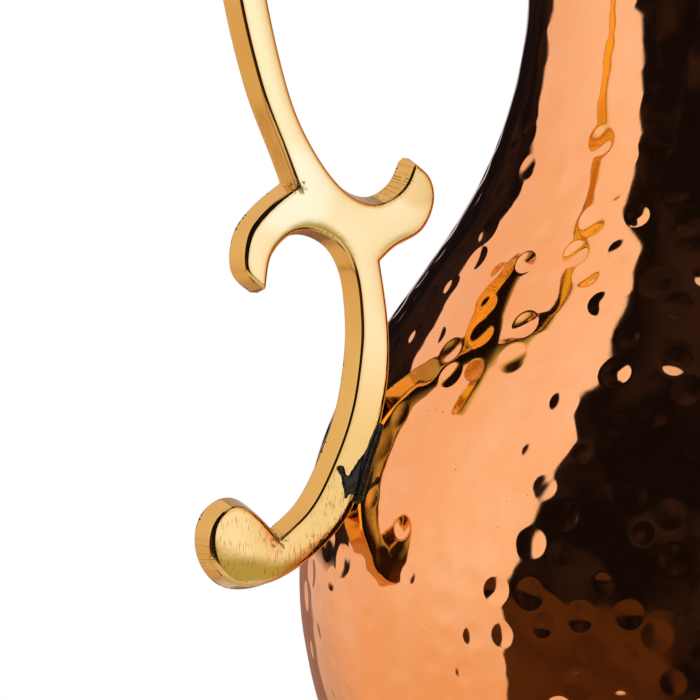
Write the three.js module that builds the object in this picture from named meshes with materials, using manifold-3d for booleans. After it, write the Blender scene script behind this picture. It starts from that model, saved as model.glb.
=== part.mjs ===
// A hammered copper water pot with a cast brass scroll handle.
// Millimetres, +Z up. The origin is on the pot's axis at the centre of its flat underside.
// The handle stands toward -X, in the plane y = 0. "Reach" is the distance from the pot's axis.
import * as THREE from 'three';
import Module from 'manifold-3d';
import { mergeVertices } from 'three/addons/utils/BufferGeometryUtils.js';

// ---- Driving dimensions -----------------------------------------------------------------

const WALL = 1;
const GAP = 0.3;
const POT_TOP = 212;
const BELLY = { reach: 6.8, height: 69.3, radius: 73.4 };
const NECK = { waist: 39.7, height: 175.4, radius: 79.9 };
const BOTTOM = { reach: 45, flat: 42, height: 6, rise: 1 };

const RIM = { wireRadius: 1.9, outset: 0.4 };
const FOOT = { height: 10.3, topReach: 50.6, flare: 3, wall: 1.2, lip: 4 };
const FOOT_SOLDER = { height: 1.6, width: 1.4 };

const HANDLE = { depth: 5.2, edge: 0.6, outset: 0.65, fit: 0.35 };
const LOWER_JOINT = { low: 84, high: 101 };
const NECK_JOINT = { low: 187, high: 203 };
const BEAD = { radius: 1.1, clear: 1.55, lean: 0.9, stops: 6, steps: 12 };
const SMEAR = { reach: 78.4, height: 92, across: 2.2, along: 3.4, thickness: 0.7, tilt: 0.35 };

const SEGMENTS = 48;
const CURVE_STEPS = 3;
const MERGE_DISTANCE = 1e-4;

// ---- Materials --------------------------------------------------------------------------

function metal(color, roughness) {
  return new THREE.MeshStandardMaterial({ color, roughness, metalness: 1 });
}

const copper = () => metal(0xe9965f, 0.12);
const brass = () => metal(0xe6c274, 0.14);
const solder = () => metal(0x4a433d, 0.45);

// ---- Helpers ----------------------------------------------------------------------------

const wasm = await Module();
wasm.setup();

// A closed geometry as a solid that can be joined or cut.
function toSolid(geometry) {
  const bare = geometry.clone();
  bare.deleteAttribute('normal');
  bare.deleteAttribute('uv');
  const merged = mergeVertices(bare, MERGE_DISTANCE);
  const vertProperties = new Float32Array(merged.attributes.position.array);
  const triVerts = new Uint32Array(merged.index.array);
  return new wasm.Manifold(new wasm.Mesh({ numProp: 3, vertProperties, triVerts }));
}

function toGeometry(solid) {
  const mesh = solid.getMesh();
  const geometry = new THREE.BufferGeometry();
  geometry.setAttribute('position', new THREE.BufferAttribute(mesh.vertProperties, 3));
  geometry.setIndex(new THREE.BufferAttribute(mesh.triVerts, 1));
  geometry.computeVertexNormals();
  return geometry;
}

// Turns a profile of [reach, height] points about the pot's axis, with +Z up.
function turned(profile) {
  const points = profile.map(([reach, height]) => new THREE.Vector2(reach, height));
  const geometry = new THREE.LatheGeometry(points, SEGMENTS, Math.PI / 2);
  return geometry.rotateX(Math.PI / 2);
}

// Points on an arc in the profile plane, angles in radians from the outward direction.
function arc(reach, height, radius, from, to, steps) {
  const points = [];
  for (let i = 0; i <= steps; i += 1) {
    const angle = from + (to - from) * i / steps;
    points.push([reach + radius * Math.cos(angle), height + radius * Math.sin(angle)]);
  }
  return points;
}

function piece(name, geometry, material) {
  const mesh = new THREE.Mesh(geometry, material);
  mesh.name = name;
  return mesh;
}

// ---- The pot's outline ------------------------------------------------------------------

// The belly's round and the neck's hollow meet on the straight line that touches both circles.
const neckReach = NECK.waist + NECK.radius;
const across = neckReach - BELLY.reach;
const above = NECK.height - BELLY.height;
const shoulder = Math.atan2(above, across)
  - Math.acos((BELLY.radius + NECK.radius) / Math.hypot(across, above));

// The outer surface moved outward by offset, from the bottom's edge to the rim.
function wallProfile(offset) {
  const belly = BELLY.radius + offset;
  const neck = NECK.radius - offset;
  const base = -Math.acos((BOTTOM.reach - BELLY.reach) / BELLY.radius);
  const mouth = Math.PI - Math.asin((POT_TOP - NECK.height) / NECK.radius);
  return [
    ...arc(BELLY.reach, BELLY.height, belly, base, shoulder, 16),
    ...arc(neckReach, NECK.height, neck, Math.PI + shoulder, mouth, 12),
  ];
}

// The outer surface's reach at a height, for whatever is fixed to the pot.
function potReach(height) {
  const tangent = BELLY.height + BELLY.radius * Math.sin(shoulder);
  if (height < tangent) {
    return BELLY.reach + Math.sqrt(BELLY.radius ** 2 - (height - BELLY.height) ** 2);
  }
  return neckReach - Math.sqrt(NECK.radius ** 2 - (height - NECK.height) ** 2);
}

// ---- Pieces of the pot ------------------------------------------------------------------

function potBody() {
  const outer = wallProfile(0);
  const inner = wallProfile(-WALL).reverse();
  const middle = BOTTOM.height + BOTTOM.rise;
  const bottom = [[0, middle], [BOTTOM.flat, BOTTOM.height]];
  const floor = [[BOTTOM.flat - WALL, BOTTOM.height + WALL], [0, middle + WALL]];
  return piece('pot_body', turned([...bottom, ...outer, ...inner, ...floor]), copper());
}

// The wired edge round the mouth.
function rimBead() {
  const reach = potReach(POT_TOP) + RIM.outset - WALL / 2;
  const height = POT_TOP + GAP + RIM.wireRadius;
  const section = arc(reach, height, RIM.wireRadius, -Math.PI / 2, 3 * Math.PI / 2, 10);
  return piece('rim_bead', turned(section), copper());
}

// A coved ring that the pot stands in, with a flat lip turned in at the floor.
function footRing() {
  const outside = [];
  const inside = [];
  const steps = 5;
  for (let i = 0; i <= steps; i += 1) {
    const height = FOOT.height * i / steps;
    const cove = FOOT.flare * (1 - i / steps) ** 2;
    outside.push([FOOT.topReach + FOOT.wall + cove, height]);
    inside.push([FOOT.topReach + cove, Math.max(height, FOOT.wall)]);
  }
  const lip = footInnerReach();
  const profile = [[lip, 0], ...outside, ...inside.reverse(), [lip, FOOT.wall], [lip, 0]];
  return piece('foot_ring', turned(profile), copper());
}

function footInnerReach() {
  return FOOT.topReach + FOOT.flare + FOOT.wall - FOOT.lip;
}

// The flat plate that closes the foot, flush with its lip.
function baseDisc() {
  const reach = footInnerReach() - GAP;
  const disc = new THREE.CylinderGeometry(reach, reach, FOOT.wall, SEGMENTS);
  disc.rotateX(Math.PI / 2).translate(0, 0, FOOT.wall / 2);
  return piece('base_disc', disc, copper());
}

// The fillet in the groove between the foot ring's top and the belly.
function footSolder() {
  const height = FOOT.height + GAP;
  const top = height + FOOT_SOLDER.height;
  const profile = [
    [potReach(height) + GAP, height],
    [potReach(height) + GAP + FOOT_SOLDER.width, height],
    [potReach(top) + GAP, top],
    [potReach(height) + GAP, height],
  ];
  return piece('foot_solder', turned(profile), solder());
}

// ---- The handle -------------------------------------------------------------------------

// The front face's outline as smooth runs of [reach, height] points between corners.
const HANDLE_RUNS = [
  // over the top and down the outside of the upper arc, to the outer notch
  [[38, 203], [49, 203.5], [61, 210], [75, 214], [91, 207], [99.5, 194], [100.6, 184],
    [99.3, 172.3], [95.4, 157.5], [90.8, 146.2], [88.6, 140.6]],
  // the outside of the hooked leaf, to its tip
  [[88.6, 140.6], [93.5, 137.1], [97.2, 133.2], [98.3, 129], [97.8, 126], [95, 123.7]],
  // under the leaf, round the arch and down the outside of the lower arc, to the bud's notch
  [[95, 123.7], [94, 129.2], [90.5, 132.8], [86, 133.5], [81, 131], [78, 126], [76.9, 119],
    [76.9, 112], [78.4, 102.5], [81.6, 93.8], [86.2, 85.6], [92.3, 80.4]],
  // round the bud and up the inside of the lower arc, to the inner notch
  [[92.3, 80.4], [95.4, 83.6], [99.9, 86.6], [104, 84.2], [104.6, 79], [101.9, 74.5],
    [97.5, 73.2], [91.7, 74.5], [85.5, 78.3], [80, 84], [76.2, 92], [73.8, 99.6], [72.3, 108],
    [72.3, 117.6], [73.8, 127.7]],
  // the outside of the upright leaf, to its tip
  [[73.8, 127.7], [70.6, 130.4], [65.8, 132.8], [63.5, 137.5], [64.2, 141.6], [66.8, 143.8]],
  // down the leaf's hollow and up the inside of the upper arc, back to the neck
  [[66.8, 143.8], [69, 139.7], [73.8, 137.1], [79.4, 138.9], [85.1, 145.2], [90.3, 155.4],
    [94.7, 172.3], [95.9, 184], [94.6, 193], [87.5, 203], [75, 209], [63.5, 205],
    [53, 196], [46, 189], [38, 186]],
];

function handleShape() {
  const shape = new THREE.Shape();
  shape.moveTo(HANDLE_RUNS[0][0][0], HANDLE_RUNS[0][0][1]);
  for (const run of HANDLE_RUNS) {
    const points = run.map(([reach, height]) => new THREE.Vector2(reach, height));
    const curve = new THREE.SplineCurve(points);
    const steps = CURVE_STEPS * (points.length - 1);
    for (let i = 1; i <= steps; i += 1) {
      const point = curve.getPoint(i / steps);
      shape.lineTo(point.x, point.y);
    }
  }
  return shape;
}

// What the handle's two feet are filed to: the pot's outside with a little room round it.
function potEnvelope() {
  const outer = wallProfile(HANDLE.fit);
  const low = outer[0][1];
  const top = outer[outer.length - 1][1];
  return toSolid(turned([[0, low], ...outer, [0, top]]));
}

function handle() {
  const geometry = new THREE.ExtrudeGeometry(handleShape(), {
    depth: HANDLE.depth - 2 * HANDLE.edge,
    bevelEnabled: true,
    bevelThickness: HANDLE.edge,
    bevelSize: HANDLE.edge,
    bevelOffset: HANDLE.outset - HANDLE.edge,
    bevelSegments: 1,
  });
  geometry.translate(0, 0, HANDLE.edge - HANDLE.depth / 2);
  geometry.rotateX(Math.PI / 2);
  geometry.rotateZ(Math.PI);
  return toSolid(geometry).subtract(potEnvelope());
}

// ---- Solder at the handle's two feet ----------------------------------------------------

// A bead along the pot's wall, beside the handle: side is -1 in front and 1 behind.
// Its axis keeps BEAD.clear from the handle, and from the wall where that leans most.
function bead(low, high, side) {
  const y = side * (HANDLE.depth / 2 + BEAD.clear);
  const points = [];
  for (let i = 0; i <= BEAD.stops; i += 1) {
    const height = low + (high - low) * i / BEAD.stops;
    const reach = potReach(height) + BEAD.clear / BEAD.lean;
    points.push(new THREE.Vector3(-Math.sqrt(reach ** 2 - y ** 2), y, height));
  }
  const ring = new THREE.Shape();
  ring.absarc(0, 0, BEAD.radius, 0, 2 * Math.PI);
  const geometry = new THREE.ExtrudeGeometry(ring, {
    steps: BEAD.steps,
    curveSegments: 8,
    bevelEnabled: false,
    extrudePath: new THREE.CatmullRomCurve3(points),
  });
  return toSolid(geometry);
}

// The patch of solder that has run onto the front face of the lower arc.
function smear() {
  const geometry = new THREE.SphereGeometry(1, 12, 8);
  geometry.scale(SMEAR.across, SMEAR.thickness, SMEAR.along);
  geometry.rotateY(-SMEAR.tilt);
  const y = -(HANDLE.depth / 2 + GAP + SMEAR.thickness);
  geometry.translate(-SMEAR.reach, y, SMEAR.height);
  return toSolid(geometry);
}

function lowerSolderNear() {
  return bead(LOWER_JOINT.low, LOWER_JOINT.high, -1).add(smear()).subtract(potEnvelope());
}

// ---- Assembly ---------------------------------------------------------------------------

const lotaWaterPot = new THREE.Group();
lotaWaterPot.name = 'lota_water_pot';
lotaWaterPot.add(
  potBody(),
  rimBead(),
  footRing(),
  baseDisc(),
  footSolder(),
  piece('brass_handle', toGeometry(handle()), brass()),
  piece('lower_solder_near', toGeometry(lowerSolderNear()), solder()),
  piece('lower_solder_far', toGeometry(bead(LOWER_JOINT.low, LOWER_JOINT.high, 1)), solder()),
  piece('neck_solder_near', toGeometry(bead(NECK_JOINT.low, NECK_JOINT.high, -1)), solder()),
  piece('neck_solder_far', toGeometry(bead(NECK_JOINT.low, NECK_JOINT.high, 1)), solder()),
);

export default lotaWaterPot;
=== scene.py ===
# %% [markdown]
# # A hammered copper water pot with a cast brass scroll handle
# The pot is a lota with a handle: one sheet of copper raised into a pear shape, struck all over
# with a ball-ended hammer and polished until it mirrors the room. The handle is a brass casting,
# filed, polished and soldered on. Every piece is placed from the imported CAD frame, in metres.

# %% Load the frame
import math

import bmesh
import bpy
import numpy as np
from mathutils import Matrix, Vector
from mathutils.geometry import delaunay_2d_cdt


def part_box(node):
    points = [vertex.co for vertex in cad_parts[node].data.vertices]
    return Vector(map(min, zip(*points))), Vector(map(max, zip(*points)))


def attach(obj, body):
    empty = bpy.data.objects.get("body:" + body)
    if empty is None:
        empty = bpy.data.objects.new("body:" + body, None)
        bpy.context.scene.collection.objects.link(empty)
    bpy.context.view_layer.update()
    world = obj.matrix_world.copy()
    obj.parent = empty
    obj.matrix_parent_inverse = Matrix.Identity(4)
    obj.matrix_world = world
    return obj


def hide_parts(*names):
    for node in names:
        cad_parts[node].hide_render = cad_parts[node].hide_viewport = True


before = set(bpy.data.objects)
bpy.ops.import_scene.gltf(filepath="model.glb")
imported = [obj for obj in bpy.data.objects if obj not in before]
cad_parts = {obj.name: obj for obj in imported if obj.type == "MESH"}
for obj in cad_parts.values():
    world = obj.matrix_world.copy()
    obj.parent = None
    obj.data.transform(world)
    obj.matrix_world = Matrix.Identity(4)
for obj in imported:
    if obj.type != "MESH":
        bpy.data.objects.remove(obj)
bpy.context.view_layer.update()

MM = 0.001

# %% [markdown]
# ## The camera
# The pot is seen close up by a long lens from far away, so that near and far parts keep nearly
# the same size. The camera stands between the pot's front and its handle, a hand's breadth above
# the belly, and looks past the pot's axis at the handle. A lens this long is the simplest way to
# such a flat picture; a shorter one would swell the nearest part of the belly.

# %% Camera
view_azimuth = math.radians(28.8)
toward_viewer = Vector((-math.sin(view_azimuth), -math.cos(view_azimuth), 0))
viewer_left = Vector((-math.cos(view_azimuth), math.sin(view_azimuth), 0))
viewer_distance = 0.9
viewer_height = 0.181
aim_left = 0.0714
aim_height = 0.1094

camera_data = bpy.data.cameras.new("portrait_lens")
camera_data.lens = 260.8
camera_data.sensor_width = 36
camera_data.clip_start = 0.05
camera = bpy.data.objects.new("portrait_camera", camera_data)
camera.location = toward_viewer * viewer_distance + Vector((0, 0, viewer_height))
aim = viewer_left * aim_left + Vector((0, 0, aim_height))
camera.rotation_euler = (aim - camera.location).to_track_quat("-Z", "Y").to_euler()
bpy.context.scene.collection.objects.link(camera)
bpy.context.scene.camera = camera
bpy.context.scene.view_settings.view_transform = "Standard"
print("camera at", [round(v, 3) for v in camera.location])

# %% [markdown]
# ## Node maths as Python
# A shader is easiest to read as a formula. `Value` wraps a socket and turns +, - and * into
# Math nodes. `Recipe.node` makes any other node: its settings first, then its sockets. Colours
# are mixed with `Recipe.blend`, because a Math node would turn a colour into a grey.

# %% Shader helper
class Value:
    """A socket that can be used in a sum."""

    def __init__(self, recipe, socket):
        self.recipe = recipe
        self.socket = socket

    def maths(self, operation, *others):
        numbers = dict(enumerate((self, *others)))
        return self.recipe.node("Math", {"operation": operation}, numbers)

    def __add__(self, other):
        return self.maths("ADD", other)

    __radd__ = __add__

    def __mul__(self, other):
        return self.maths("MULTIPLY", other)

    __rmul__ = __mul__

    def __sub__(self, other):
        return self.maths("SUBTRACT", other)

    def __rsub__(self, other):
        return self.recipe.node("Math", {"operation": "SUBTRACT"}, {0: other, 1: self})

    def clip(self):
        return self.recipe.node("Clamp", {}, {"Value": self})


class Recipe:
    """A node tree that is filled in by expressions."""

    def __init__(self, tree):
        self.tree = tree
        tree.nodes.clear()

    def node(self, kind, settings, sockets, output=0):
        made = self.tree.nodes.new("ShaderNode" + kind)
        for name, value in settings.items():
            setattr(made, name, value)
        for name, value in sockets.items():
            self.feed(made.inputs[name], value)
        return Value(self, made.outputs[output]) if made.outputs else None

    def feed(self, socket, value):
        if isinstance(value, Value):
            self.tree.links.new(value.socket, socket)
        else:
            socket.default_value = value

    def blend(self, share, first, second):
        """first where share is 0, second where it is 1."""
        colours = [c if isinstance(c, Value) else (*c, 1) for c in (first, second)]
        sockets = {0: share, 6: colours[0], 7: colours[1]}
        return self.node("Mix", {"data_type": "RGBA"}, sockets, output=2)

    def step(self, value, low, high):
        """A smooth step from 0 at low to 1 at high; low may be the larger."""
        sockets = {"Value": value, "From Min": low, "From Max": high}
        return self.node("MapRange", {"interpolation_type": "SMOOTHSTEP"}, sockets)

    def window(self, value, low, high, soft):
        """1 between low and high, fading to 0 over soft."""
        return self.step(value, low - soft, low + soft) * self.step(value, high + soft, high - soft)

    def noise(self, place, scale, detail=2, roughness=0.5, output="Fac"):
        sockets = {"Vector": place, "Scale": scale, "Detail": detail, "Roughness": roughness}
        return self.node("TexNoise", {}, sockets, output=output)

    def stretched(self, place, factors):
        """The place with its x, y and z multiplied by factors."""
        return self.node("VectorMath", {"operation": "MULTIPLY"}, {0: place, 1: factors})

    def part_of(self, place, axis):
        return self.node("SeparateXYZ", {}, {0: place}, output=axis)


# %% [markdown]
# ## The light
# Polished metal has hardly a look of its own: it shows what stands round it. A product
# studio has a white softbox on each side and a lamp overhead, and leaves the room dark
# between them, with a little brown from the furniture low down. So the pot gets broad bright
# bands with hard edges. Here all of that is drawn on the world's sphere by its direction, which
# gives the bands without any noise. Where they begin and end, and their colours, are set for
# the close-up. Light that has already met two or more mirrors gets other colours, which isn't
# physical: it only makes the handle's image in the copper yellow and not a dark red. The camera
# itself sees plain white behind the pot, and matt things such as the floor get even light.

# %% World
def degrees_window(recipe, angle, low, high, soft):
    return recipe.window(angle, math.radians(low), math.radians(high), math.radians(soft))


def build_world():
    world = bpy.data.worlds.new("studio")
    world.use_nodes = True
    bpy.context.scene.world = world
    recipe = Recipe(world.node_tree)
    direction = recipe.node("TexCoord", {}, {}, output="Generated")

    def along(axis):
        sockets = {0: direction, 1: tuple(axis)}
        return recipe.node("VectorMath", {"operation": "DOT_PRODUCT"}, sockets, output="Value")

    turn = along(viewer_left).maths("ARCTAN2", along(toward_viewer))
    rise = along((0, 0, 1)).maths("ARCSINE")

    def window(angle, low, high, soft=1.0):
        return degrees_window(recipe, angle, low, high, soft)

    def rising(low, high):
        return recipe.step(rise, math.radians(low), math.radians(high))

    edge = rising(-2, 8) * -7.5 + rising(36, 50) * 8 + rising(55, 70) * 45 + 65
    turn_degrees = turn * (180 / math.pi)
    past_edge = turn_degrees - edge
    before_end = turn_degrees * -1 + rising(22, 29) * 42 + 124
    left_box = recipe.step(past_edge, -0.8, 0.8) * recipe.step(before_end, -1.5, 1.5)
    left_box = left_box * window(rise, -3, 64)
    low_box = window(turn, 66, 152) * window(rise, -50, -3)
    left_box = (left_box + low_box).clip()
    right_box = window(turn, -124, -22) * window(rise, -60, 66, 3)
    front_table = window(turn, -66, 66) * window(rise, -70, -30)
    lamp = window(turn, 5, 165, 5) * window(rise, 70, 88)
    brown = window(turn, 20, 66, 2) * window(rise, -60, -1)
    behind_low = (window(turn, 152, 200) + window(turn, -200, -124)) * window(rise, -60, -3)
    behind_high = (window(turn, 167, 200, 2) + window(turn, -200, -165, 2)) * window(rise, -3, 60)

    murk = recipe.step(recipe.noise(direction, 4.0, 3), 0.42, 0.72)
    room = recipe.blend(murk, (0.008, 0.007, 0.008), (0.030, 0.021, 0.020))
    room = recipe.blend(brown * (1 - murk * 0.5), room, (0.085, 0.043, 0.014))
    room = recipe.blend(behind_low, room, (0.33, 0.20, 0.15))
    room = recipe.blend(behind_high, room, (0.55, 0.50, 0.50))
    across = recipe.step(turn, math.radians(66), math.radians(130))
    panel = recipe.blend(across, (1.05, 1.10, 1.16), (0.96, 0.90, 0.84))
    dusk = recipe.step(rise, math.radians(10), math.radians(-25))
    panel = recipe.blend(dusk * 0.8, panel, (0.88, 0.73, 0.53))
    far_side = recipe.step(turn, math.radians(118), math.radians(150))
    panel = recipe.blend(far_side * dusk, panel, (0.62, 0.48, 0.35))
    table_edge = window(rise, -31, -26) * window(turn, 80, 108)
    panel = recipe.blend(table_edge * 0.8, panel, (0.45, 0.32, 0.14))
    room = recipe.blend(left_box, room, panel)
    rim_glow = recipe.step(turn, math.radians(-46), math.radians(-84))
    panel = recipe.blend(rim_glow, (1.06, 1.05, 1.08), (0.78, 0.55, 0.24))
    low_glow = recipe.step(rise, math.radians(-7), math.radians(-16))
    panel = recipe.blend(low_glow, panel, (0.50, 0.42, 0.16))
    room = recipe.blend(right_box, room, panel)
    room = recipe.blend((front_table + lamp).clip(), room, (0.9, 0.9, 0.9))

    bounces = recipe.node("LightPath", {}, {}, output="Ray Depth")
    second = bounces.maths("GREATER_THAN", 2.5)
    third = bounces.maths("GREATER_THAN", 3.5)
    fill = recipe.step(turn, math.radians(14), math.radians(34)) * window(turn, 0, 66, 2)
    fill = fill * window(rise, 6, 60, 6)
    room = recipe.blend(fill * second, room, (0.90, 1.05, 0.70))
    fill = window(turn, -40, 80, 4) * window(rise, -50, 50, 6)
    pale = recipe.node("VectorMath", {"operation": "MULTIPLY"}, {0: room, 1: (1.2, 3.2, 4.0)},
                       output="Vector")
    pale = recipe.blend(fill, pale, (1.5, 4.5, 4.5))
    room = recipe.blend(third, room, pale)
    fourth = bounces.maths("GREATER_THAN", 4.5)
    pale = recipe.node("VectorMath", {"operation": "MULTIPLY"}, {0: room, 1: (1.05, 2.2, 4.5)},
                       output="Vector")
    room = recipe.blend(fourth, room, pale)

    path = {name: recipe.node("LightPath", {}, {}, output=name)
            for name in ("Is Camera Ray", "Is Diffuse Ray")}
    plain = (path["Is Camera Ray"] + path["Is Diffuse Ray"]).clip()
    colour = recipe.blend(plain, room, (1.0, 1.0, 1.0))
    surface = recipe.node("Background", {}, {"Color": colour, "Strength": 1.0})
    recipe.node("OutputWorld", {}, {"Surface": surface})


build_world()
print("world:", bpy.context.scene.world.name)

# %% [markdown]
# ## The floor
# The pot stands on a small white table. A round white sweep fades into the white behind it, and
# only catches the pot's soft shadow. Mirrors would show that sweep as a huge white sheet, so they
# see a smaller disc instead, as wide as looks right.

# %% Floor
def disc(name, radius, height):
    mesh = bpy.data.meshes.new(name)
    work = bmesh.new()
    bmesh.ops.create_circle(work, cap_ends=True, segments=96, radius=radius)
    work.to_mesh(mesh)
    work.free()
    made = bpy.data.objects.new(name, mesh)
    made.location.z = height
    bpy.context.scene.collection.objects.link(made)
    return made


def sweep_paint():
    paint = bpy.data.materials.new("white_sweep")
    paint.use_nodes = True
    recipe = Recipe(paint.node_tree)
    place = recipe.node("TexCoord", {}, {}, output="Object")
    from_middle = recipe.node("VectorMath", {"operation": "LENGTH"}, {0: place}, output="Value")
    matt = recipe.node("BsdfDiffuse", {}, {"Color": (0.86, 0.86, 0.86, 1)})
    glow = recipe.node("Emission", {}, {"Color": (1, 1, 1, 1), "Strength": 1.0})
    fade = recipe.step(from_middle, 0.16, 0.3)
    mixed = recipe.node("MixShader", {}, {0: fade, 1: matt, 2: glow})
    recipe.node("OutputMaterial", {}, {"Surface": mixed})
    return paint


sweep = disc("white_sweep", 0.6, -0.0002)
sweep.data.materials.append(sweep_paint())
sweep.visible_glossy = False

table_top = disc("table_top", 0.14, -0.0003)
table_top.data.materials.append(sweep.data.materials[0])
table_top.visible_camera = False
table_top.visible_diffuse = False
table_top.visible_shadow = False
print("floor:", sweep.name, "and", table_top.name)

# %% [markdown]
# ## Building meshes from arrays
# Each piece here is a surface of known formula, so its points come from numpy and go into a mesh
# in one step. That is faster and smoother than modelling by hand with modifiers.

# %% Mesh helper
def mesh_object(name, points, faces, sharp_degrees=40):
    mesh = bpy.data.meshes.new(name)
    mesh.from_pydata(points.tolist() if hasattr(points, "tolist") else points, [], faces)
    mesh.validate()
    mesh.shade_smooth()
    mesh.set_sharp_from_angle(angle=math.radians(sharp_degrees))
    made = bpy.data.objects.new(name, mesh)
    bpy.context.scene.collection.objects.link(made)
    return made


def finish_piece(piece, node, material):
    piece.data.materials.append(material)
    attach(piece, "root")
    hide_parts(node)
    print(piece.name, "has", len(piece.data.polygons), "faces")


# %% [markdown]
# ## The pot's outline
# The same circles as in the CAD: a round belly, a hollow neck, and the straight line that
# touches both. `pot_reach` gives the surface's distance from the axis at a height, in mm, which
# everything that sits on the pot needs.

# %% Outline of the pot, in millimetres
belly_reach, belly_height, belly_radius = 6.8, 69.3, 73.4
neck_waist, neck_height, neck_radius = 39.7, 175.4, 79.9
wall = 1.0
pot_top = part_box("pot_body")[1].z / MM
bottom_reach, bottom_flat, bottom_height, bottom_rise = 45, 42, 6, 1

neck_reach = neck_waist + neck_radius
rise_between = neck_height - belly_height
reach_between = neck_reach - belly_reach
shoulder = math.atan2(rise_between, reach_between) - math.acos(
    (belly_radius + neck_radius) / math.hypot(reach_between, rise_between))


def arc(reach, height, radius, start, stop, count):
    angle = np.linspace(start, stop, count)
    return np.stack([reach + radius * np.cos(angle), height + radius * np.sin(angle)], 1)


def pot_reach(height):
    height = np.asarray(height, float)
    tangent = belly_height + belly_radius * math.sin(shoulder)
    low = belly_reach + np.sqrt(np.maximum(belly_radius**2 - (height - belly_height) ** 2, 0))
    high = neck_reach - np.sqrt(np.maximum(neck_radius**2 - (height - neck_height) ** 2, 0))
    return np.where(height < tangent, low, high)


def wall_line(offset):
    """The wall's profile from the bottom's edge to the mouth, moved outward by offset."""
    start = -math.acos((bottom_reach - belly_reach) / belly_radius)
    stop = math.pi - math.asin((pot_top - neck_height) / neck_radius)
    belly = arc(belly_reach, belly_height, belly_radius + offset, start, shoulder, 900)
    neck = arc(neck_reach, neck_height, neck_radius - offset, math.pi + shoulder, stop, 700)
    return np.concatenate([belly, neck])


print("mouth reach in mm:", round(float(pot_reach(pot_top)), 1))

# %% [markdown]
# ## The hammer marks
# A smith strikes the pot over a stake with a small ball-peen hammer, a few millimetres apart,
# and each blow leaves a shallow round hollow with a fairly crisp edge. A bump map would bend the
# light but leave the outline smooth, so the hollows are real: each layer of them lowers a grid
# point by the deepest hollow over it. The blows are thrown at random but kept apart, and two
# layers of wider, softer dents make the sheet uneven. All their sizes are listed below.

# %% Throw the blows
def resampled(line, step_at):
    """Points along a line whose spacing at each height is step_at(height)."""
    lengths = np.hypot(*np.diff(line, axis=0).T)
    steps = 0.5 * (step_at(line[1:, 1]) + step_at(line[:-1, 1]))
    progress = np.concatenate([[0], np.cumsum(lengths / steps)])
    stops = np.linspace(0, progress[-1], int(round(progress[-1])) + 1)
    return np.stack([np.interp(stops, progress, line[:, k]) for k in (0, 1)], 1)


def arc_length(line):
    return np.concatenate([[0], np.cumsum(np.hypot(*np.diff(line, axis=0).T))])


def throw_blows(line, spacing, count, seed):
    """Random places (length along the profile, angle) that keep spacing mm between them."""
    rng = np.random.default_rng(seed)
    length = arc_length(line)
    along = rng.uniform(0, length[-1], count)
    reach = np.interp(along, length, line[:, 0])
    height = np.interp(along, length, line[:, 1])
    keep = rng.uniform(0, line[:, 0].max(), count) < reach
    along, reach, height = along[keep], reach[keep], height[keep]
    turn = rng.uniform(-math.pi, math.pi, len(along))
    place = np.stack([reach * np.cos(turn), reach * np.sin(turn), height], 1)
    kept = []
    for i in range(len(place)):
        if not kept or np.min(np.sum((place[kept] - place[i]) ** 2, 1)) > spacing**2:
            kept.append(i)
    return along[kept], turn[kept], reach[kept]


def hammered(line, turns):
    """How far each point of the grid lies below the smooth wall, in mm."""
    rng = np.random.default_rng(7)
    length = arc_length(line)
    sunk = np.zeros((len(line), len(turns)))
    layers = [
        # spacing, tries, radius range, depth range, and how soft the edge is
        (14.0, 4000, (9, 15), (0.09, 0.22), 2.0),
        (6.6, 9000, (4.5, 7.0), (0.03, 0.09), 2.0),
        (5.4, 14000, (2.0, 3.2), (0.10, 0.25), 1.3),
    ]
    for layer, (spacing, tries, radii, depths, softness) in enumerate(layers):
        marks = np.zeros_like(sunk)
        along, turn, reach = throw_blows(line, spacing, tries, 11 + layer)
        radius = rng.uniform(*radii, len(along))
        depth = rng.uniform(*depths, len(along)) * (radius / radii[1])
        if layer == 2:
            height = np.interp(along, length, line[:, 1])
            depth *= 1 - 0.8 * np.clip((height - 146) / 8, 0, 1)
        for a, t, r, size, deep in zip(along, turn, reach, radius, depth):
            rows = slice(*np.searchsorted(length, (a - size, a + size)))
            away = (turns - t + math.pi) % (2 * math.pi) - math.pi
            columns = np.nonzero(np.abs(away) * r < size)[0]
            dent = (length[rows, None] - a) ** 2 + (away[None, columns] * r) ** 2
            dent = deep * np.clip(1 - dent / size**2, 0, 1) ** softness
            block = marks[rows][:, columns]
            marks[rows, columns] = np.maximum(block, dent)
        sunk += marks
        print("layer", layer, "has", len(along), "dents")
    return sunk


# %% [markdown]
# The grid is finest where the close-up looks, and coarser behind. The inner wall repeats the
# dents with the sheet's thickness in between, because a blow pushes the whole sheet.

# %% The pot's body
def grid_turns():
    """Angles about the axis, close together on the side that the close-up shows."""
    middle = math.atan2(toward_viewer.y, toward_viewer.x)
    fine = np.radians(np.arange(-112, 22, 0.27))
    coarse = np.radians(np.arange(22, 248, 0.56))
    return middle + np.concatenate([fine, coarse])


def fine_step(height):
    return np.where((height > 42) & (height < 178), 0.36, 0.7)


def outward(line):
    tangent = np.gradient(line, axis=0)
    tangent /= np.hypot(*tangent.T)[:, None]
    return np.stack([tangent[:, 1], -tangent[:, 0]], 1)


def revolve_grid(line, turns, sunk):
    normal = outward(line)
    reach = line[:, 0, None] - normal[:, 0, None] * sunk
    height = line[:, 1, None] - normal[:, 1, None] * sunk
    x = reach * np.cos(turns)
    y = reach * np.sin(turns)
    return np.stack([x, y, height], 2)


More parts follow.
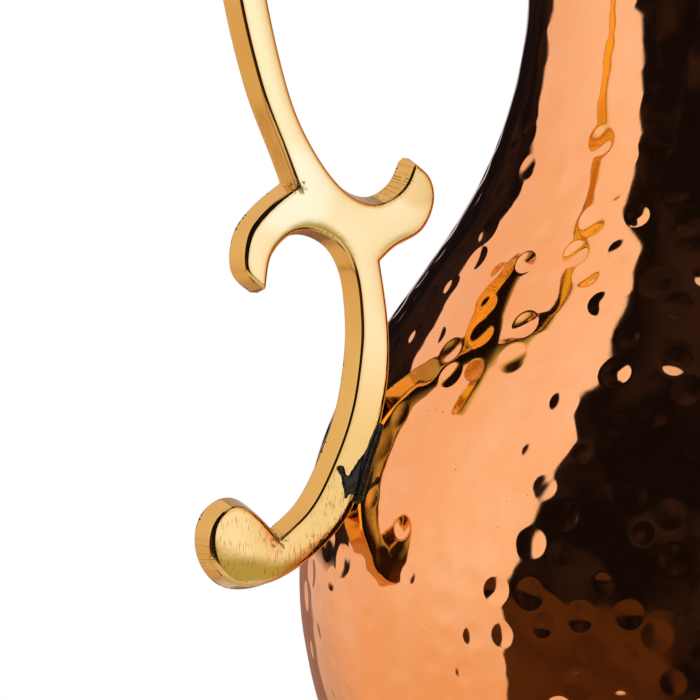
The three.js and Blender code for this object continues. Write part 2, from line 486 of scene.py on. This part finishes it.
def pot_body():
    turns = grid_turns()
    outer = resampled(wall_line(0), fine_step)
    sunk = hammered(outer, turns)
    outside = revolve_grid(outer, turns, sunk)
    every = 5
    inner = resampled(wall_line(0), fine_step)[::every]
    thickness = np.full_like(sunk[::every], wall)
    inside = revolve_grid(inner, turns, sunk[::every] + thickness)[::-1]
    under = [(reach, bottom_height + bottom_rise * (1 - reach / bottom_flat))
             for reach in (1, 10, 20, 30, bottom_flat)]
    under = revolve_grid(np.array(under, float), turns, np.zeros((len(under), len(turns))))
    floor = under[::-1] + (0, 0, wall)
    rows = np.concatenate([under, outside, inside, floor])
    count_rows, count_turns = rows.shape[:2]
    index = np.arange(count_rows * count_turns).reshape(count_rows, count_turns)
    near, far = index[:-1], index[1:]
    faces = np.stack([near, np.roll(near, -1, 1), np.roll(far, -1, 1), far], 2).reshape(-1, 4)
    caps = [index[0][::-1].tolist(), index[-1].tolist()]
    points = rows.reshape(-1, 3) * MM
    return mesh_object("hammered_pot", points, faces.tolist() + caps, 60)


pot = pot_body()
print("pot stands", round(max(v.co.z for v in pot.data.vertices) / MM, 1), "mm high")

# %% [markdown]
# ## Turned pieces
# The wired edge, the foot ring and the plate under it are all round, so one function turns a
# closed profile about the axis. A little unevenness keeps them from looking machined.

# %% Turned pieces
def turned(name, profile, columns=400, wobble=0.0, waves=9, sharp_degrees=40):
    turns = np.linspace(0, 2 * math.pi, columns, endpoint=False)
    profile = np.asarray(profile, float)
    reach = profile[:, 0, None] + wobble * np.sin(waves * turns + profile[:, 1, None])
    height = np.repeat(profile[:, 1, None], columns, 1)
    rows = np.stack([reach * np.cos(turns), reach * np.sin(turns), height], 2)
    index = np.arange(len(profile) * columns).reshape(len(profile), columns)
    after = np.roll(index, -1, 0)
    faces = np.stack([index, np.roll(index, -1, 1), np.roll(after, -1, 1), after], 2)
    return mesh_object(name, rows.reshape(-1, 3) * MM, faces.reshape(-1, 4).tolist(), sharp_degrees)


def rounded_corners(corners, radius, count=5):
    """A closed outline whose corners are rounded off."""
    corners = [np.array(c, float) for c in corners]
    points = []
    for i, corner in enumerate(corners):
        before, after = corners[i - 1], corners[(i + 1) % len(corners)]
        start = corner + (before - corner) * min(0.45, radius / np.linalg.norm(before - corner))
        stop = corner + (after - corner) * min(0.45, radius / np.linalg.norm(after - corner))
        for share in np.linspace(0, 1, count):
            points.append((1 - share) ** 2 * start + 2 * share * (1 - share) * corner
                          + share**2 * stop)
    return points


# %% [markdown]
# ## The wired edge
# The mouth's edge is rolled outward over a wire, which makes it stiff and kind to the lips. The
# roll comes back to the neck underneath, so its section is a round that ends in a short tail.

# %% Wired edge
rim_low, rim_high = (corner.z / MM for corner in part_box("rim_bead"))
rim_radius = (rim_high - rim_low) / 2
rim_middle = (rim_high + rim_low) / 2
rim_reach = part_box("rim_bead")[1].x / MM - rim_radius


def wired_edge():
    roll = arc(rim_reach, rim_middle, rim_radius, math.radians(-60), math.radians(236), 36)
    tail = [(float(pot_reach(pot_top)) - wall - 0.1, pot_top - 0.9),
            (float(pot_reach(pot_top)) + 0.3, pot_top - 0.7)]
    profile = np.concatenate([roll, tail])
    return turned("wired_edge", profile, columns=420, wobble=0.04, waves=13)


rim = wired_edge()

# %% [markdown]
# ## The foot
# A coved ring of the same sheet lifts the belly off the table. Its upper edge is soldered to the
# belly, its lower edge is turned in to a flat lip, and a plate closes it flush with that lip.

# %% Foot ring and base disc
foot_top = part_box("foot_ring")[1].z / MM
foot_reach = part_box("foot_ring")[1].x / MM
disc_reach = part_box("base_disc")[1].x / MM
foot_sheet = 1.2
foot_flare = 3


def foot_ring():
    share = np.linspace(0, 1, 24)
    cove = foot_flare * (1 - share) ** 2
    outside = np.stack([foot_reach - foot_flare + cove, foot_top * share], 1)
    inside = outside[::-1] - (foot_sheet, 0)
    inside[:, 1] = np.maximum(inside[:, 1], foot_sheet)
    lip = disc_reach + 0.15
    lip_end = [(lip, foot_sheet), (lip, 0.0)]
    outside[0] += (-0.5, 0)
    outside = np.concatenate([outside[:1], [(foot_reach - 0.12, 0.16), (foot_reach, 0.5)],
                              outside[2:]])
    return turned("foot_ring_turned", np.concatenate([outside, inside, lip_end]), wobble=0.03)


def base_disc():
    corners = rounded_corners([(0.4, 0), (disc_reach, 0), (disc_reach, foot_sheet),
                               (0.4, foot_sheet)], 0.25)
    made = turned("base_plate", corners, columns=200)
    work = bmesh.new()
    work.from_mesh(made.data)
    bmesh.ops.remove_doubles(work, verts=work.verts, dist=1e-7)
    work.to_mesh(made.data)
    work.free()
    return made


foot = foot_ring()
plate = base_disc()

# %% [markdown]
# ## The handle's outline
# The handle was cast in one piece from a flat pattern: an upper arc, a junction with two leaves,
# a lower arc and a round bud. The outline of its front face is a set of smooth runs between
# sharp corners. Points are (distance from the pot's axis, height) in mm, the same ones as in the
# CAD. About half of them are places traced and turned into mm by another script, and the rest
# are set by hand. Arcs worked out from a few dimensions would be better, and are still to do.

# %% Outline of the handle, in millimetres
handle_runs = {
    "over the top and down the outside": [
        (38, 203), (49, 203.5), (61, 210), (75, 214), (91, 207), (99.5, 194), (100.6, 184),
        (99.3, 172.3), (95.4, 157.5), (90.8, 146.2), (88.6, 140.6)],
    "outside of the hooked leaf": [
        (88.6, 140.6), (93.5, 137.1), (97.2, 133.2), (98.3, 129), (97.8, 126), (95, 123.7)],
    "under the leaf and down the lower arc": [
        (95, 123.7), (94, 129.2), (90.5, 132.8), (86, 133.5), (81, 131), (78, 126), (76.9, 119),
        (76.9, 112), (78.4, 102.5), (81.6, 93.8), (86.2, 85.6), (92.3, 80.4)],
    "round the bud and up the inside": [
        (92.3, 80.4), (95.4, 83.6), (99.9, 86.6), (104, 84.2), (104.6, 79), (101.9, 74.5),
        (97.5, 73.2), (91.7, 74.5), (85.5, 78.3), (80, 84), (76.2, 92), (73.8, 99.6),
        (72.3, 108), (72.3, 117.6), (73.8, 127.7)],
    "outside of the upright leaf": [
        (73.8, 127.7), (70.6, 130.4), (65.8, 132.8), (63.5, 137.5), (64.2, 141.6), (66.8, 143.8)],
    "down the leaf's hollow and up to the neck": [
        (66.8, 143.8), (69, 139.7), (73.8, 137.1), (79.4, 138.9), (85.1, 145.2), (90.3, 155.4),
        (94.7, 172.3), (95.9, 184), (94.6, 193), (87.5, 203), (75, 209), (63.5, 205),
        (53, 196), (46, 189), (38, 186)],
    "along the neck": [(38, 186), (38, 203)],
}
fine_spacing = 0.3


def curve_through(points):
    """A smooth curve through the points, as close points of even spacing."""
    points = np.array(points, float)
    padded = np.concatenate([points[:1], points, points[-1:]])
    share = np.linspace(0, 1, 40, endpoint=False)[:, None]
    spans = []
    for p0, p1, p2, p3 in zip(padded, padded[1:], padded[2:], padded[3:]):
        spans.append(0.5 * (2 * p1 + (p2 - p0) * share + (2 * p0 - 5 * p1 + 4 * p2 - p3) * share**2
                            + (3 * p1 - p0 - 3 * p2 + p3) * share**3))
    line = np.concatenate([*spans, points[-1:]])
    length = arc_length(line)
    stops = np.linspace(0, length[-1], max(3, int(length[-1] / fine_spacing)))
    line = np.stack([np.interp(stops, length, line[:, k]) for k in (0, 1)], 1)
    for _ in range(14):
        line[1:-1] = 0.25 * line[:-2] + 0.5 * line[1:-1] + 0.25 * line[2:]
    return line


def handle_outline():
    runs = [curve_through(points) for points in handle_runs.values()]
    line = np.concatenate([run[:-1] for run in runs])
    corners = np.cumsum([0] + [len(run) - 1 for run in runs[:-1]])
    seat = pot_reach(line[:, 1]) - 0.3
    line[:, 0] = np.maximum(line[:, 0], seat)
    return line, set(corners.tolist())


outline, outline_corners = handle_outline()
print("handle outline has", len(outline), "points and", len(outline_corners), "corners")

# %% [markdown]
# ## The handle's section
# A casting has draft: its sides lean, so that the pattern leaves the sand, and the front face is
# narrower than the back. The long edges were then eased with a file, and polishing crowned the
# front face a little. All of that is a height over the flat pattern that depends only on the
# distance to its outline, so the front is a fine net of points laid over the pattern and lifted
# by that rule. The creases in the notches come out by themselves.

# %% Distances to the outline
handle_depth = (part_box("brass_handle")[1].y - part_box("brass_handle")[0].y) / MM
front_y = -handle_depth / 2
back_y = handle_depth / 2
draft_out, ease_out, ease_in, back_ease = 1.3, 0.32, -0.35, 0.6
at_once = 2000


def outline_distance(points):
    """The distance to the outline, negative inside it."""
    start = outline
    span = np.roll(outline, -1, 0) - start
    size = np.sum(span**2, 1)
    distance = np.empty(len(points))
    inside = np.empty(len(points), bool)
    for first in range(0, len(points), at_once):
        part = points[first:first + at_once, None]
        share = np.clip(np.sum((part - start) * span, 2) / size, 0, 1)
        gap = part - start - share[..., None] * span
        distance[first:first + at_once] = np.sqrt(np.min(np.sum(gap**2, 2), 1))
        crosses = (start[:, 1] > part[..., 1]) != ((start + span)[:, 1] > part[..., 1])
        with np.errstate(divide="ignore", invalid="ignore"):
            at = start[:, 0] + (part[..., 1] - start[:, 1]) / span[:, 1] * span[:, 0]
        inside[first:first + at_once] = np.sum(crosses & (part[..., 0] < at), 1) % 2 == 1
    return np.where(inside, -distance, distance)


def outline_normals():
    """Outward normals; a corner counts for both runs that meet there."""
    before = outline - np.roll(outline, 1, 0)
    after = np.roll(outline, -1, 0) - outline
    points, normals = [], []
    for i, place in enumerate(outline):
        ways = [before[i], after[i]] if i in outline_corners else [before[i] + after[i]]
        units = [way / np.linalg.norm(way) for way in ways]
        sides = [np.array([way[1], -way[0]]) * outline_side for way in units]
        if len(sides) == 2:
            sides.insert(1, (sides[0] + sides[1]) / np.linalg.norm(sides[0] + sides[1]))
        for side in sides:
            points.append(place)
            normals.append(side)
    return np.array(points), np.array(normals)


x, z = outline.T
outline_side = math.copysign(1, np.sum(x * np.roll(z, -1) - z * np.roll(x, -1)))
ring_points, ring_normals = outline_normals()


def ring(offset):
    """The outline moved outward by offset, without the points that another part comes nearer."""
    moved = ring_points + ring_normals * offset
    good = np.abs(np.abs(outline_distance(moved)) - abs(offset)) < 0.02
    return moved[good]


def distance_to_runs(points, names):
    """The distance to the nearest of some of the outline's runs."""
    line = np.concatenate([curve_through(handle_runs[name])[::2] for name in names])
    nearest = np.empty(len(points))
    for first in range(0, len(points), at_once):
        gap = points[first:first + at_once, None] - line
        nearest[first:first + at_once] = np.sqrt(np.min(np.sum(gap**2, 2), 1))
    return nearest


# %% [markdown]
# The polished face swells a little, most where the casting is widest. A soap film blown up over
# the outline swells in just that way, so the crown is such a film, solved on a square grid.

# %% The crown of the front face
film_cell = 0.3
film_low = outline.min(0) - 2 * film_cell
film_shape = tuple(((outline.max(0) + 2 * film_cell - film_low) / film_cell).astype(int) + 1)


def blown_film():
    """Height of the film over each grid point, 1 along the middle of the plain arcs."""
    reach, height = np.meshgrid(*(np.arange(n) * film_cell for n in film_shape), indexing="ij")
    grid = np.stack([reach.ravel(), height.ravel()], 1) + film_low
    inside = (outline_distance(grid) < 0).reshape(film_shape)
    film = np.zeros(film_shape)
    source = 2 / 2.45**2 * film_cell**2
    for _ in range(900):
        around = (np.roll(film, 1, 0) + np.roll(film, -1, 0)
                  + np.roll(film, 1, 1) + np.roll(film, -1, 1))
        film = np.where(inside, (around + source) / 4, 0)
    for _ in range(3):
        film = 0.5 * film + 0.125 * (np.roll(film, 1, 0) + np.roll(film, -1, 0)
                                     + np.roll(film, 1, 1) + np.roll(film, -1, 1))
    return film


film = blown_film()
print("the film stands", round(float(film.max()), 2), "times as high over the widest place")


def film_over(points):
    place = (points - film_low) / film_cell
    cell = np.clip(place.astype(int), 0, np.array(film_shape) - 2)
    u, v = (np.clip(place - cell, 0, 1)).T
    i, j = cell.T
    return ((1 - u) * (1 - v) * film[i, j] + u * (1 - v) * film[i + 1, j]
            + (1 - u) * v * film[i, j + 1] + u * v * film[i + 1, j + 1])


# %% [markdown]
# The section's rule follows. The edges are eased more on the hooked leaf and on the bud, and the
# lower arc's face slants slightly.

# %% The section's rule
def near(points, centre, size):
    return np.exp(-np.sum((points - np.array(centre)) ** 2, 1) / size**2)


def ramp(value, low, high):
    share = np.clip((value - low) / (high - low), 0, 1)
    return share * share * (3 - 2 * share)


bud_centre = (98.6, 79.9)
outer_runs = ["over the top and down the outside", "outside of the hooked leaf",
              "under the leaf and down the lower arc"]
inner_runs = ["round the bud and up the inside", "outside of the upright leaf",
              "down the leaf's hollow and up to the neck"]


def front_height(points, distance):
    """How far the front surface lies towards the viewer, as y in mm."""
    height = points[:, 1]
    ease = 1 + 1.1 * near(points, (96.5, 136), 7) + 0.8 * near(points, (104, 79.5), 7)
    ease = np.minimum(ease, 2.1)
    swell = film_over(points)
    swell = swell / (1 + 0.25 * swell)
    low_arc = ramp(height, 122, 106) * ramp(height, 78, 86)
    crown = 0.17 + 0.19 * near(points, bud_centre, 6.5) + 0.16 * ramp(height, 144, 156)
    crown = (crown - 0.11 * low_arc) * swell
    slant = distance_to_runs(points, inner_runs) - distance_to_runs(points, outer_runs)
    slant = 0.08 * low_arc * np.clip(slant, -4, 4)
    face = front_y - crown + slant
    low, high = ease_in * ease, ease_out * ease
    drop = 0.65 * ease**0.7
    turn = np.clip((distance - low) / (high - low), 0, 1)
    eased = face + drop * (1 - np.sqrt(np.maximum(1 - turn**2, 0)))
    share = np.clip((distance - high) / (draft_out - high), 0, 1)
    side = (face + drop) * (1 - share) + (back_y - back_ease) * share
    return np.where(distance <= high, eased, side)


def back_height(distance):
    turn = np.clip((distance - (draft_out - back_ease)) / back_ease, 0, 1)
    return back_y - back_ease * (1 - np.sqrt(np.maximum(1 - turn**2, 0)))


def filling(spacing, edge):
    """Points in a triangular pattern, inside the outline and clear of its edge."""
    low, high = outline.min(0), outline.max(0)
    rows = np.arange(low[1], high[1], spacing * 0.866)
    columns = np.arange(low[0], high[0], spacing)
    points = [np.stack([columns + 0.5 * spacing * (i % 2), np.full(len(columns), row)], 1)
              for i, row in enumerate(rows)]
    points = np.concatenate(points)
    return points[outline_distance(points) < edge]


def net(border, points):
    """Triangles over the border's inside that use all the points."""
    everything = np.concatenate([border, points])
    edges = [(i, (i + 1) % len(border)) for i in range(len(border))]
    result = delaunay_2d_cdt([Vector(p) for p in everything.tolist()], edges, [], 1, 1e-6)
    return np.array([tuple(v) for v in result[0]]), [tuple(f) for f in result[2]]


def ringed(offsets, inner, spacing):
    """Rings beside the outline and a filling, with each point's distance to the outline."""
    rings = [ring(offset) for offset in offsets]
    distances = [np.full(len(points), offset) for points, offset in zip(rings, offsets)]
    middle = filling(spacing, inner)
    distances.append(outline_distance(middle))
    return np.concatenate([*rings, middle]), np.concatenate(distances)


def known_distance(points, given, distances):
    """The nominal distance of each point; new points at crossings are measured."""
    known = {tuple(np.round(p, 4)): d for p, d in zip(given.tolist(), distances)}
    measured = outline_distance(points)
    return np.array([known.get(tuple(np.round(p, 4)), m) for p, m in zip(points.tolist(), measured)])


def place_along(points):
    """How far round the outline the nearest place is, in mm."""
    length = np.concatenate([[0], np.cumsum(np.hypot(*np.diff(outline, axis=0).T))])
    nearest = np.empty(len(points), int)
    for first in range(0, len(points), at_once):
        gap = points[first:first + at_once, None] - outline
        nearest[first:first + at_once] = np.argmin(np.sum(gap**2, 2), 1)
    return length[nearest]


def cast_handle():
    border = ring(draft_out)
    offsets = [1.15, 1.0, 0.84, 0.68, 0.54, 0.42, ease_out, 0.22, 0.12, 0.02, -0.08, -0.17, -0.26,
               ease_in, -0.5, -0.7]
    given, distances = ringed(offsets, -0.95, 0.45)
    front, front_faces = net(border, given)
    distance = np.minimum(known_distance(front, given, distances), draft_out)
    front_y_values = front_height(front, distance)
    given, back_distances = ringed([1.27, 1.18, 1.05, 0.9, 0.7], 0.4, 0.9)
    back, back_faces = net(border, given)
    back_distance = np.minimum(known_distance(back, given, back_distances), draft_out)
    points = np.concatenate([np.column_stack([-front[:, 0], front_y_values, front[:, 1]]),
                             np.column_stack([-back[:, 0], back_height(back_distance), back[:, 1]])])
    faces = front_faces + [tuple(i + len(front) for i in f[::-1]) for f in back_faces]
    reach = np.hypot(points[:, 0], points[:, 1])
    seat = pot_reach(points[:, 2]) - 0.35
    points[:, :2] *= np.maximum(1, seat / reach)[:, None]
    made = mesh_object("cast_handle", points * MM, faces, 38)
    # The side mask rises from the face's eased edge to the sides and back; the brass paint gives
    # them painted shade and a rougher polish.
    side = np.concatenate([ramp(distance, -0.9, 0.3), np.ones(len(back))])
    made.data.attributes.new("side", "FLOAT", "POINT").data.foreach_set("value", side)
    along = np.concatenate([place_along(front), place_along(back)])
    made.data.attributes.new("along", "FLOAT", "POINT").data.foreach_set("value", along)
    work = bmesh.new()
    work.from_mesh(made.data)
    bmesh.ops.remove_doubles(work, verts=work.verts, dist=1e-6)
    bmesh.ops.recalc_face_normals(work, faces=work.faces)
    work.to_mesh(made.data)
    work.free()
    return made


handle = cast_handle()
print("handle spans", [round(v / MM, 1) for v in handle.dimensions])

# %% [markdown]
# ## The solder
# Soft solder was run into the corners beside the handle's two ends. It froze as a fat dull bead,
# with a patch smeared on the handle's face. Overlapping balls along each corner, wrapped in one
# skin by a voxel remesh and smoothed, freeze in much the same way.

# %% Solder helper
def solder_run(name, balls):
    """One lumpy skin round balls given as (x, y, z, radius, squeeze in y), in mm."""
    work = bmesh.new()
    for x, y, z, radius, squeeze in balls:
        made = bmesh.ops.create_icosphere(work, subdivisions=2, radius=radius * MM)
        bmesh.ops.scale(work, vec=(1, squeeze, 1), verts=made["verts"])
        bmesh.ops.translate(work, vec=(x * MM, y * MM, z * MM), verts=made["verts"])
    mesh = bpy.data.meshes.new(name)
    work.to_mesh(mesh)
    work.free()
    run = bpy.data.objects.new(name, mesh)
    bpy.context.scene.collection.objects.link(run)
    skin = run.modifiers.new("skin", "REMESH")
    skin.mode = "VOXEL"
    skin.voxel_size = 0.00018
    smooth = run.modifiers.new("smooth", "SMOOTH")
    smooth.iterations = 8
    graph = bpy.context.evaluated_depsgraph_get()
    run.data = bpy.data.meshes.new_from_object(run.evaluated_get(graph))
    run.modifiers.clear()
    run.data.shade_smooth()
    return run


def corner_bead(low, high, side, thick, rng):
    """Balls along the corner between the pot and the handle, on one side of the handle."""
    balls = []
    for share in np.linspace(0, 1, 34):
        height = low + (high - low) * share
        swell = thick * (0.7 + 0.3 * math.sin(math.pi * share) ** 0.5)
        radius = swell * rng.uniform(0.95, 1.05)
        reach = float(pot_reach(height)) + 0.1
        balls.append((-reach, side * (handle_depth / 2 + 0.5 * radius), height, radius, 1))
    return balls


def node_heights(node):
    return [corner.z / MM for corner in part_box(node)]


rng = np.random.default_rng(21)
low, high = node_heights("lower_solder_near")
smear = [(75.4, 95.6, 0.7), (75.9, 94.8, 0.9), (76.4, 93.9, 1.1), (76.9, 93.0, 1.3),
         (77.4, 92.0, 1.45), (77.9, 91.0, 1.6), (78.3, 90.0, 1.75), (78.4, 89.0, 1.6),
         (78.9, 89.8, 1.6), (79.4, 89.6, 1.4), (79.9, 90.0, 1.0), (80.2, 90.6, 0.7),
         (80.45, 91.2, 0.6), (80.7, 91.8, 0.7), (80.9, 92.3, 0.75), (79.7, 88.4, 0.9),
         (80.0, 87.5, 0.7), (80.2, 86.9, 0.5)]
near_balls = corner_bead(low + 3, high - 2, -1, 0.85, rng)
near_balls += [(-reach, front_y - 0.05, z, radius, 0.4) for reach, z, radius in smear]
lower_near = solder_run("lower_solder_front", near_balls)
lower_far = solder_run("lower_solder_back", corner_bead(low, high, 1, 1.0, rng))
low, high = node_heights("neck_solder_near")
neck_near = solder_run("neck_solder_front", corner_bead(low, high, -1, 1.0, rng))
neck_far = solder_run("neck_solder_back", corner_bead(low, high, 1, 1.0, rng))


def foot_fillet():
    """A fine lumpy ring in the groove above the foot."""
    low, high = node_heights("foot_solder")
    middle = (low + high) / 2
    corner = float(pot_reach(low))
    section = [(corner - 0.4, low - 0.5), (corner + 0.9, low - 0.35), (corner + 0.9, low + 0.1),
               (float(pot_reach(middle)) + 0.35, middle + 0.2),
               (float(pot_reach(high)) - 0.2, high)]
    return turned("foot_fillet", rounded_corners(section, 0.4), columns=300, wobble=0.08, waves=31)


fillet = foot_fillet()

# %% [markdown]
# ## Finishes
# All the metals are fully metallic with a near-mirror polish. Copper is coloured by its own
# reflection. What makes it real is small: a rosier or more orange tinge here and there, pits and
# specks that the polishing mop left, and a roughness that is never quite even. Its base colour is
# also darker and more orange towards the bottom, which is painted shade. The brass is one casting,
# but its colour carries painted light: painted shade on the sides, low down, on the upright leaf
# and toward the pot, and a painted highlight at the junction.

# %% Polished metal
def metal_paint(name):
    paint = bpy.data.materials.new(name)
    paint.use_nodes = True
    return paint, Recipe(paint.node_tree)


def metal_surface(recipe, colour, roughness, bump, strength, distance=0.0002):
    sockets = {"Strength": strength, "Distance": distance, "Height": bump}
    normal = recipe.node("Bump", {}, sockets)
    sockets = {"Base Color": colour, "Roughness": roughness, "Metallic": 1.0, "Normal": normal}
    shader = recipe.node("BsdfPrincipled", {}, sockets)
    recipe.node("OutputMaterial", {}, {"Surface": shader})


def object_place(recipe):
    return recipe.node("TexCoord", {}, {}, output="Object")


def copper_paint(name, polish=0.03):
    paint, recipe = metal_paint(name)
    place = object_place(recipe)
    height = recipe.part_of(place, "Z")
    cloudy = recipe.noise(place, 28, 3)
    # Painted shade: the base colour turns darker and more orange towards the bottom.
    tinge = recipe.blend(recipe.step(height, 0.10, 0.04), (0.955, 0.405, 0.172),
                         (0.935, 0.36, 0.130))
    tinge = recipe.blend(recipe.step(cloudy, 0.42, 0.72) * 0.5, tinge, (0.93, 0.34, 0.115))
    fine_clouds = recipe.step(recipe.noise(place, 110, 4), 0.45, 0.70)
    tinge = recipe.blend(fine_clouds * 0.35, tinge, (0.96, 0.47, 0.24))
    speck = recipe.step(recipe.noise(place, 1500, 1), 0.76, 0.82)
    speck = speck * recipe.step(recipe.noise(place, 60, 2), 0.45, 0.6)
    tinge = recipe.blend(speck * 0.8, tinge, (0.16, 0.05, 0.02))
    pits = recipe.noise(place, 900, 2)
    roughness = recipe.noise(place, 40, 3) * 0.03 + polish + speck * 0.2
    metal_surface(recipe, tinge, roughness, pits - speck, 0.008)
    return paint


def brass_paint(name):
    paint, recipe = metal_paint(name)
    place = object_place(recipe)
    height = recipe.part_of(place, "Z")
    side = recipe.node("Attribute", {"attribute_name": "side"}, {}, output="Fac")
    cloudy = recipe.noise(place, 90, 3)

    def close_to(reach, height, size):
        flat = recipe.stretched(place, (1, 0, 1))
        centre = (-reach * MM, 0, height * MM)
        gap = recipe.node("VectorMath", {"operation": "DISTANCE"}, {0: flat, 1: centre},
                          output="Value")
        return recipe.step(gap, size * 1.3 * MM, size * 0.8 * MM)

    # Painted shade: the face's brass deepens in two steps from the upper arm down toward the bud.
    face_colour_and_painted_light = recipe.blend(recipe.step(height, 0.160, 0.120), (0.985, 0.83, 0.49),
                              (0.97, 0.76, 0.42))
    face_colour_and_painted_light = recipe.blend(recipe.step(height, 0.120, 0.085), face_colour_and_painted_light, (0.965, 0.68, 0.30))
    # Painted shade: a deeper gold on the lower face nearest the pot.
    painted_shade_toward_pot = recipe.step(recipe.part_of(place, "X"), -0.096, -0.084)
    painted_shade_toward_pot = painted_shade_toward_pot * recipe.step(height, 0.116, 0.096)
    face_colour_and_painted_light = recipe.blend(painted_shade_toward_pot, face_colour_and_painted_light, (0.86, 0.57, 0.21))
    # Painted highlight: a pale patch on the face at the junction.
    face_colour_and_painted_light = recipe.blend(close_to(90, 140, 7) * 0.8, face_colour_and_painted_light, (0.99, 0.92, 0.66))
    # Painted shade: a darker patch on the upright leaf.
    face_colour_and_painted_light = recipe.blend(close_to(66, 142, 5) * 0.8, face_colour_and_painted_light, (0.86, 0.58, 0.24))
    # Painted shade: the sides get a darker, deeper brass than the face, with a random cloudy tone
    # over it.
    side_painted_shade_and_cloud = recipe.blend(cloudy, (0.73, 0.385, 0.09), (0.80, 0.45, 0.13))
    tinge = recipe.blend(side, face_colour_and_painted_light, side_painted_shade_and_cloud)
    dashes = recipe.noise(recipe.stretched(place, (1, 1, 0.12)), 4500, 2)
    dashes = recipe.step(dashes, 0.57, 0.64) * recipe.step(height, 0.101, 0.092) * (1 - side)
    patchy = recipe.step(recipe.noise(place, 220, 2), 0.40, 0.55)
    dashes = dashes * patchy
    tinge = recipe.blend(dashes * 0.7, tinge, (0.42, 0.24, 0.05))
    along = recipe.node("Attribute", {"attribute_name": "along"}, {}, output="Fac")
    sockets = {"W": along, "Scale": 3.2, "Detail": 3.0}
    hatch = recipe.node("TexNoise", {"noise_dimensions": "1D"}, sockets, output="Fac")
    worn = recipe.step(recipe.noise(place, 700, 2), 0.35, 0.55)
    hatch = recipe.step(hatch, 0.50, 0.64) * side * worn
    hatch = hatch * (close_to(69, 139.5, 8) + close_to(105.5, 78.5, 3.5) * 0.7)
    pitted = recipe.step(recipe.noise(place, 1600, 3), 0.45, 0.62)
    pitted = pitted * (close_to(88.6, 140.6, 1.3) + close_to(92.3, 80.4, 1.6)
                       + close_to(86, 134, 5) * side * 0.6)
    hatch = (hatch + pitted).clip()
    tinge = recipe.blend(hatch * 0.8, tinge, (0.25, 0.13, 0.03))
    pits = recipe.noise(place, 1100, 2)
    roughness = recipe.noise(place, 60, 3) * 0.05 + 0.04 + side * 0.05 + dashes * 0.1 + hatch * 0.3
    metal_surface(recipe, tinge, roughness, pits * 0.6 - dashes - hatch, 0.06)
    return paint


def solder_paint(name):
    paint, recipe = metal_paint(name)
    place = object_place(recipe)
    grain = recipe.noise(place, 500, 4, 0.6)
    colour = recipe.blend(grain, (0.03, 0.027, 0.025), (0.10, 0.09, 0.08))
    roughness = recipe.noise(place, 300, 2) * 0.25 + 0.3
    metal_surface(recipe, colour, roughness, grain, 0.5, 0.0003)
    return paint


copper_bright = copper_paint("hammered_copper")
copper_rolled = copper_paint("rolled_copper", 0.06)
copper_plate = copper_paint("plate_copper", 0.2)
brass_polished = brass_paint("cast_brass")
solder_dull = solder_paint("soft_solder")

# %% Hand over the pieces
finish_piece(pot, "pot_body", copper_bright)
finish_piece(rim, "rim_bead", copper_rolled)
finish_piece(foot, "foot_ring", copper_rolled)
finish_piece(plate, "base_disc", copper_plate)
finish_piece(fillet, "foot_solder", solder_dull)
finish_piece(handle, "brass_handle", brass_polished)
finish_piece(lower_near, "lower_solder_near", solder_dull)
finish_piece(lower_far, "lower_solder_far", solder_dull)
finish_piece(neck_near, "neck_solder_near", solder_dull)
finish_piece(neck_far, "neck_solder_far", solder_dull)
